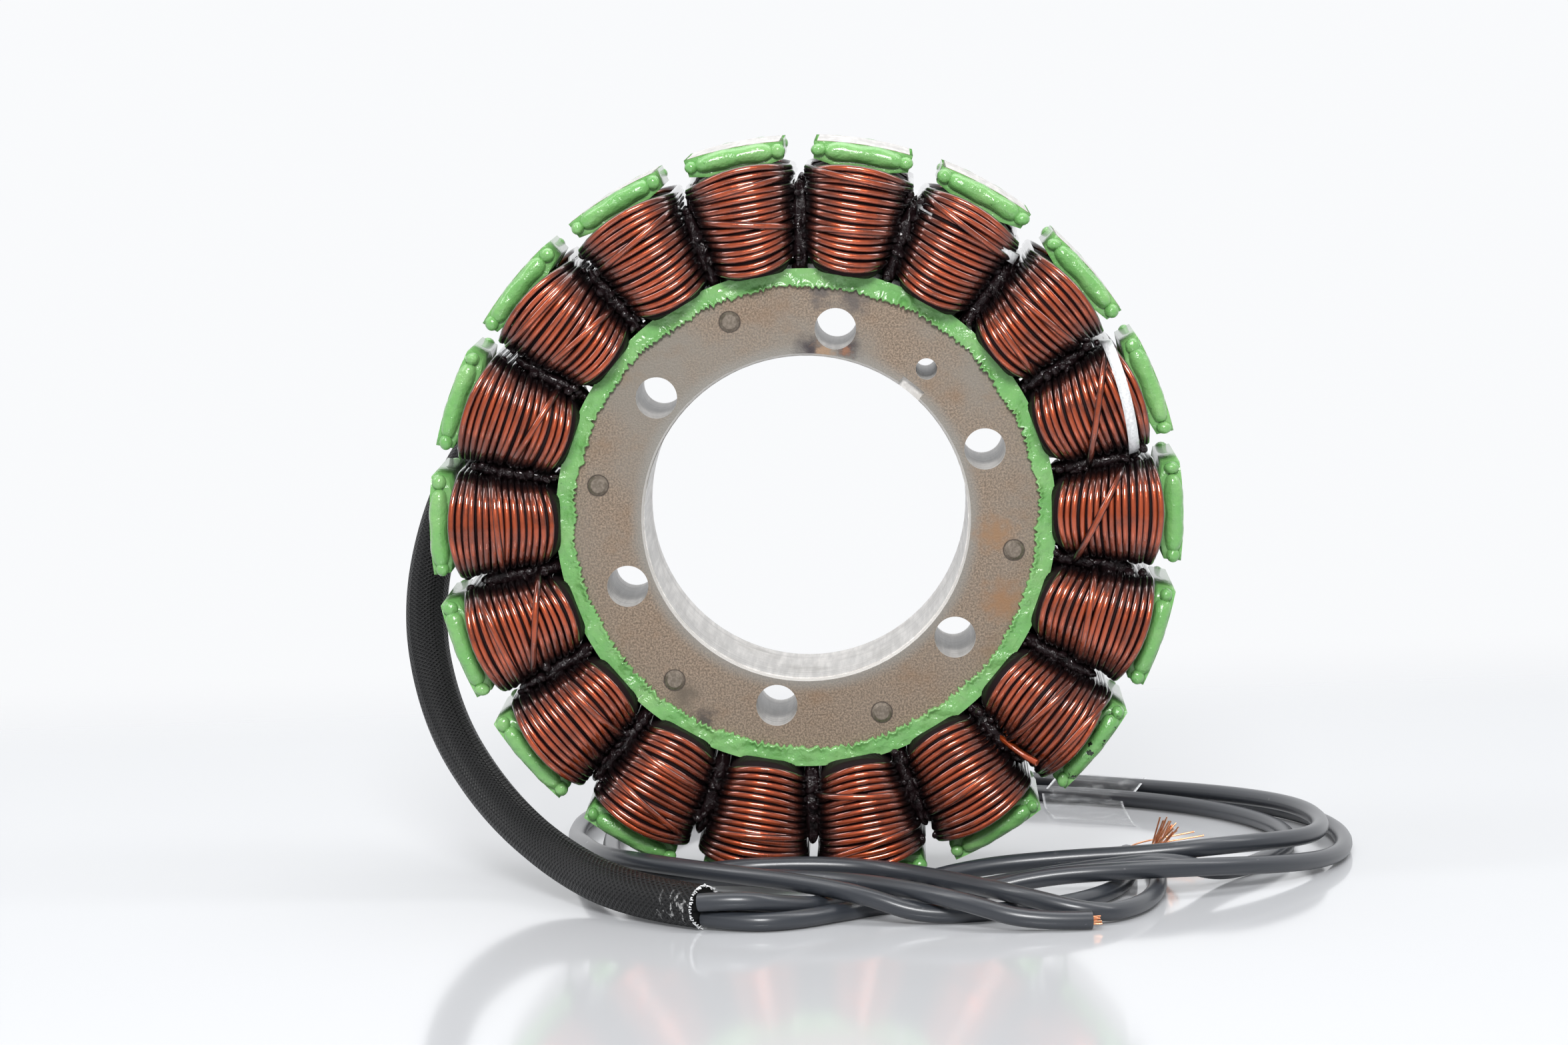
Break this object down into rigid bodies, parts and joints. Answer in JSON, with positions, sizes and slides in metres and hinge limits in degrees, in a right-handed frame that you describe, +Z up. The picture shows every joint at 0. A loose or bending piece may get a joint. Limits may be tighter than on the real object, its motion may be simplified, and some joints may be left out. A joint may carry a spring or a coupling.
{
  "type": "wound stator",
  "caption": "Eighteen-pole wound stator ring with enamelled copper coils on a green-coated steel core, a central bore, six bolt holes and three loose leads in a woven sleeve.",
  "frame": {"origin": "centre of the bore on the rear mounting face", "axes": "+Y along the bore axis, away from the face that carries the notch; +Z up as the ring stands on its rim; +X to the right as seen from the front"},
  "size_m": [0.1567, 0.1468, 0.1204],
  "materials": {
    "lamination_steel": "ground bore wall, bare edges of stacked sheets",
    "plate_steel": "brown heat tint with fine speckle and a rust stain",
    "rivet_steel": "dull, slightly domed heads",
    "green_resin": "glossy resin coat with a torn inner edge",
    "enamelled_copper": "deep red-orange enamel under glossy varnish",
    "bare_copper": "bright drawn strands",
    "shrink_sleeve": "dark sleeve",
    "lacing_tape": "flat white tape under varnish",
    "woven_sleeve": "varnished woven sleeve with oblique ribs",
    "lead_jacket": "satin rubber with lengthwise lines",
    "clear_film": "thin clear film with bright edges"
  },
  "bodies": {
    "root": {"lamination_stack": "lamination_steel", "front_end_plate": "plate_steel", "rivets": "rivet_steel", "insulation_coat": "green_resin", "coil_01": "enamelled_copper", "coil_02": "enamelled_copper", "coil_03": "enamelled_copper", "coil_04": "enamelled_copper", "coil_05": "enamelled_copper", "coil_06": "enamelled_copper", "coil_07": "enamelled_copper", "coil_08": "enamelled_copper", "coil_09": "enamelled_copper", "coil_10": "enamelled_copper", "coil_11": "enamelled_copper", "coil_12": "enamelled_copper", "coil_13": "enamelled_copper", "coil_14": "enamelled_copper", "coil_15": "enamelled_copper", "coil_16": "enamelled_copper", "coil_17": "enamelled_copper", "coil_18": "enamelled_copper", "crossover_a": "enamelled_copper", "crossover_b": "enamelled_copper", "crossover_c": "enamelled_copper", "splice_sleeve_a": "shrink_sleeve", "splice_sleeve_b": "shrink_sleeve", "splice_sleeve_c": "shrink_sleeve", "star_point_sleeve": "shrink_sleeve", "lacing_tie_1": "lacing_tape", "lacing_tie_2": "lacing_tape", "lead_sleeve": "woven_sleeve", "lead_a": "lead_jacket", "lead_b": "lead_jacket", "lead_c": "lead_jacket", "strand_end_a": "bare_copper", "strand_end_b": "bare_copper", "strand_end_c": "bare_copper", "clear_tape": "clear_film"}
  },
  "joints": []
}
